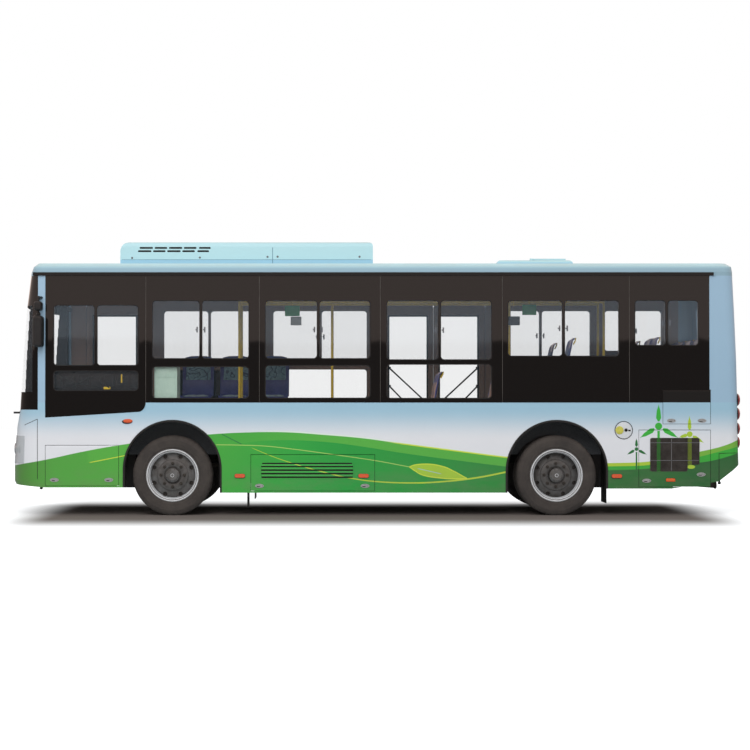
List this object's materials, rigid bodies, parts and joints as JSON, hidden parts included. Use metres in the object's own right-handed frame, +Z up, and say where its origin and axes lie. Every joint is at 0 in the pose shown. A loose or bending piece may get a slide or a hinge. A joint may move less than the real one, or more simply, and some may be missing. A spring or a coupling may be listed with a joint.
{
  "type": "city bus",
  "caption": "Single-deck city bus with a rear engine, a roof air conditioner, a front door, a two-leaf middle door and hinged side flaps.",
  "frame": {"origin": "middle of the footprint on the ground, under the bus", "axes": "+X towards the tail, +Y towards the door side, +Z up"},
  "size_m": [8.69, 2.87, 3.256],
  "materials": {
    "body_paint": "gloss light blue paint with green waves",
    "roof_paint": "gloss light blue paint",
    "glazing": "tinted bonded glass",
    "tyre": "worn black rubber tread and wall",
    "wheel_steel": "grey wheel paint",
    "frame_steel": "black chassis paint",
    "cast_parts": "cast",
    "black_plastic": "black grained plastic",
    "lamp_red": "red lens",
    "lamp_clear": "clear lens over chrome",
    "rubber": "black rubber",
    "seat_plastic": "moulded shell with fabric insert",
    "floor_cover": "grey speckled floor covering",
    "rail_paint": "yellow painted tube",
    "cabinet_paint": "pale green paint",
    "driver_fabric": "woven seat cloth"
  },
  "bodies": {
    "body": {"ac_unit": "roof_paint", "arch_trims": "rubber", "band_left": "body_paint", "band_right": "body_paint", "cabinet": "cabinet_paint", "chassis_frame": "frame_steel", "dashboard": "black_plastic", "driver_seat": "driver_fabric", "floor": "floor_cover", "front_axle": "cast_parts", "front_panel": "body_paint", "fuel_tank": "frame_steel", "glass_left": "glazing", "glass_right": "glazing", "grab_rails": "rail_paint", "headlamps": "lamp_clear", "mirrors": "black_plastic", "mudflaps": "rubber", "power_unit": "cast_parts", "rear_axle": "cast_parts", "rear_bumper": "body_paint", "rear_panel": "body_paint", "rear_window": "glazing", "roof": "roof_paint", "roof_hatch": "roof_paint", "seats": "seat_plastic", "side_lamps": "lamp_red", "skirt_left": "body_paint", "skirt_right": "body_paint", "tail_lamps": "lamp_red", "windshield": "glazing", "wipers": "black_plastic"},
    "knuckle_left": {"knuckle_left": "cast_parts"},
    "wheel_front_left": {"rim_front_left": "wheel_steel", "tyre_front_left": "tyre"},
    "wheel_rear_left": {"rim_rear_left": "wheel_steel", "tyre_rear_left": "tyre"},
    "knuckle_right": {"knuckle_right": "cast_parts"},
    "wheel_front_right": {"rim_front_right": "wheel_steel", "tyre_front_right": "tyre"},
    "wheel_rear_right": {"rim_rear_right": "wheel_steel", "tyre_rear_right": "tyre"},
    "door_front": {"door_front": "body_paint", "door_front_glass": "glazing"},
    "door_mid_front": {"door_mid_front": "body_paint", "door_mid_front_glass": "glazing"},
    "door_mid_rear": {"door_mid_rear": "body_paint", "door_mid_rear_glass": "glazing"},
    "flap_left_front": {"flap_left_front": "body_paint"},
    "flap_left_mid": {"flap_left_mid": "body_paint"},
    "flap_left_rear_low": {"flap_left_rear_low": "body_paint"},
    "flap_left_rear_high": {"flap_left_rear_high": "body_paint"},
    "flap_right_mid": {"flap_right_mid": "body_paint"},
    "flap_right_rear_low": {"flap_right_rear_low": "body_paint"},
    "engine_lid": {"engine_lid": "body_paint"},
    "hatch_lid": {"hatch_lid": "roof_paint"},
    "steering_wheel": {"steering_wheel": "black_plastic"}
  },
  "joints": [
    {"name": "steer_left", "type": "hinge", "parent": "body", "child": "knuckle_left", "pos_m": [-2.35502, -0.93, 0.47], "axis": [0, 0, 1], "range_deg": [-35, 35]},
    {"name": "roll_front_left", "type": "hinge", "parent": "knuckle_left", "child": "wheel_front_left", "pos_m": [-2.35502, -1.08, 0.47], "axis": [0, 1, 0], "continuous": true},
    {"name": "roll_rear_left", "type": "hinge", "parent": "body", "child": "wheel_rear_left", "pos_m": [2.16397, -1.08, 0.47], "axis": [0, 1, 0], "continuous": true},
    {"name": "steer_right", "type": "hinge", "parent": "body", "child": "knuckle_right", "pos_m": [-2.35502, 0.93, 0.47], "axis": [0, 0, 1], "range_deg": [-35, 35]},
    {"name": "roll_front_right", "type": "hinge", "parent": "knuckle_right", "child": "wheel_front_right", "pos_m": [-2.35502, 1.08, 0.47], "axis": [0, 1, 0], "continuous": true},
    {"name": "roll_rear_right", "type": "hinge", "parent": "body", "child": "wheel_rear_right", "pos_m": [2.16397, 1.08, 0.47], "axis": [0, 1, 0], "continuous": true},
    {"name": "door_front_swing", "type": "hinge", "parent": "body", "child": "door_front", "pos_m": [-3.68598, 1.18, 1.4875], "axis": [0, 0, -1], "range_deg": [0, 88]},
    {"name": "door_mid_front_swing", "type": "hinge", "parent": "body", "child": "door_mid_front", "pos_m": [0.18003, 1.18, 1.4875], "axis": [0, 0, -1], "range_deg": [0, 88]},
    {"name": "door_mid_rear_swing", "type": "hinge", "parent": "body", "child": "door_mid_rear", "pos_m": [1.49697, 1.18, 1.4875], "axis": [0, 0, 1], "range_deg": [0, 88]},
    {"name": "flap_left_front_lift", "type": "hinge", "parent": "body", "child": "flap_left_front", "pos_m": [-3.41604, -1.211, 0.80895], "axis": [-1, 0, 0], "range_deg": [0, 100]},
    {"name": "flap_left_mid_lift", "type": "hinge", "parent": "body", "child": "flap_left_mid", "pos_m": [-0.70346, -1.211, 0.69818], "axis": [-1, 0, 0], "range_deg": [0, 100]},
    {"name": "flap_left_rear_low_lift", "type": "hinge", "parent": "body", "child": "flap_left_rear_low", "pos_m": [3.549, -1.211, 0.98877], "axis": [-1, 0, 0], "range_deg": [0, 100]},
    {"name": "flap_left_rear_high_lift", "type": "hinge", "parent": "body", "child": "flap_left_rear_high", "pos_m": [3.69064, -1.211, 1.46108], "axis": [-1, 0, 0], "range_deg": [0, 100]},
    {"name": "flap_right_mid_lift", "type": "hinge", "parent": "body", "child": "flap_right_mid", "pos_m": [-0.76038, 1.211, 0.69818], "axis": [1, 0, 0], "range_deg": [0, 100]},
    {"name": "flap_right_rear_low_lift", "type": "hinge", "parent": "body", "child": "flap_right_rear_low", "pos_m": [3.549, 1.211, 0.98877], "axis": [1, 0, 0], "range_deg": [0, 100]},
    {"name": "engine_lid_lift", "type": "hinge", "parent": "body", "child": "engine_lid", "pos_m": [4.287, 0, 1.431], "axis": [0, -1, 0], "range_deg": [0, 80]},
    {"name": "hatch_lid_lift", "type": "hinge", "parent": "body", "child": "hatch_lid", "pos_m": [1.96403, 0, 3.081], "axis": [0, -1, 0], "range_deg": [0, 60]},
    {"name": "steering_wheel_turn", "type": "hinge", "parent": "body", "child": "steering_wheel", "pos_m": [-3.56003, -0.7, 1.545], "axis": [0.7012, 0, 0.713], "range_deg": [-350, 350]}
  ],
  "couplings": [
    {"joint": "steer_right", "follows": "steer_left", "ratio": 1},
    {"joint": "steering_wheel_turn", "follows": "steer_left", "ratio": 10},
    {"joint": "door_mid_rear_swing", "follows": "door_mid_front_swing", "ratio": 1}
  ]
}
